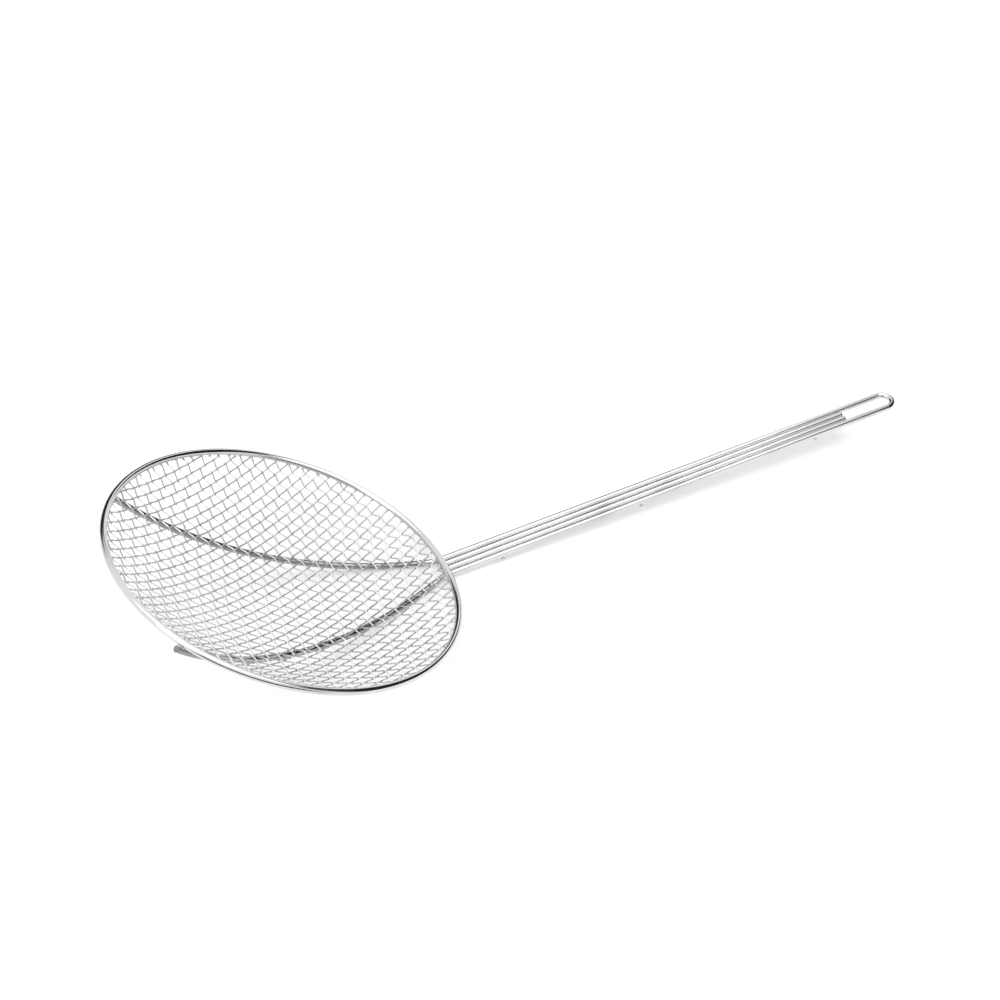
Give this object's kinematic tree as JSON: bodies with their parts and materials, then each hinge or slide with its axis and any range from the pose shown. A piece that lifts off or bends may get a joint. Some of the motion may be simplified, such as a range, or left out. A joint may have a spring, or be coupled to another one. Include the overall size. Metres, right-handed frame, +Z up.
{
  "type": "wire mesh skimmer",
  "caption": "Round, dished skimmer of woven wire in a wire hoop, on a long handle of parallel rods with a hanging loop, for lifting food out of hot oil or water.",
  "frame": {"origin": "middle of the bounding box's bottom face, on the table that the skimmer rests on", "axes": "+X along the handle towards the hanging loop, +Z up from the table, +Y to the left"},
  "size_m": [0.5466, 0.228, 0.1012],
  "materials": {
    "hoop_plating": "bright nickel plating on round steel wire, smooth, with faint draw lines",
    "rod_plating": "bright nickel plating on round steel rod, smooth, with faint draw lines",
    "mesh_plating": "bright nickel plating on woven steel wire"
  },
  "bodies": {
    "root": {"cross_wire_bowl_end": "rod_plating", "cross_wire_loop_end": "rod_plating", "cross_wire_middle": "rod_plating", "hanging_loop_rod": "rod_plating", "hoop": "hoop_plating", "inner_handle_rod_left": "rod_plating", "inner_handle_rod_right": "rod_plating", "outer_handle_rod_left": "rod_plating", "outer_handle_rod_right": "rod_plating", "warp_wires_00": "mesh_plating", "warp_wires_01": "mesh_plating", "warp_wires_02": "mesh_plating", "warp_wires_03": "mesh_plating", "warp_wires_04": "mesh_plating", "warp_wires_05": "mesh_plating", "warp_wires_06": "mesh_plating", "warp_wires_07": "mesh_plating", "warp_wires_08": "mesh_plating", "warp_wires_09": "mesh_plating", "warp_wires_10": "mesh_plating", "warp_wires_11": "mesh_plating", "warp_wires_12": "mesh_plating", "warp_wires_13": "mesh_plating", "warp_wires_14": "mesh_plating", "warp_wires_15": "mesh_plating", "warp_wires_16": "mesh_plating", "warp_wires_17": "mesh_plating", "weft_wires_00": "mesh_plating", "weft_wires_01": "mesh_plating", "weft_wires_02": "mesh_plating", "weft_wires_03": "mesh_plating", "weft_wires_04": "mesh_plating", "weft_wires_05": "mesh_plating", "weft_wires_06": "mesh_plating", "weft_wires_07": "mesh_plating", "weft_wires_08": "mesh_plating", "weft_wires_09": "mesh_plating", "weft_wires_10": "mesh_plating", "weft_wires_11": "mesh_plating", "weft_wires_12": "mesh_plating", "weft_wires_13": "mesh_plating", "weft_wires_14": "mesh_plating", "weft_wires_15": "mesh_plating", "weft_wires_16": "mesh_plating", "weft_wires_17": "mesh_plating"}
  },
  "joints": []
}
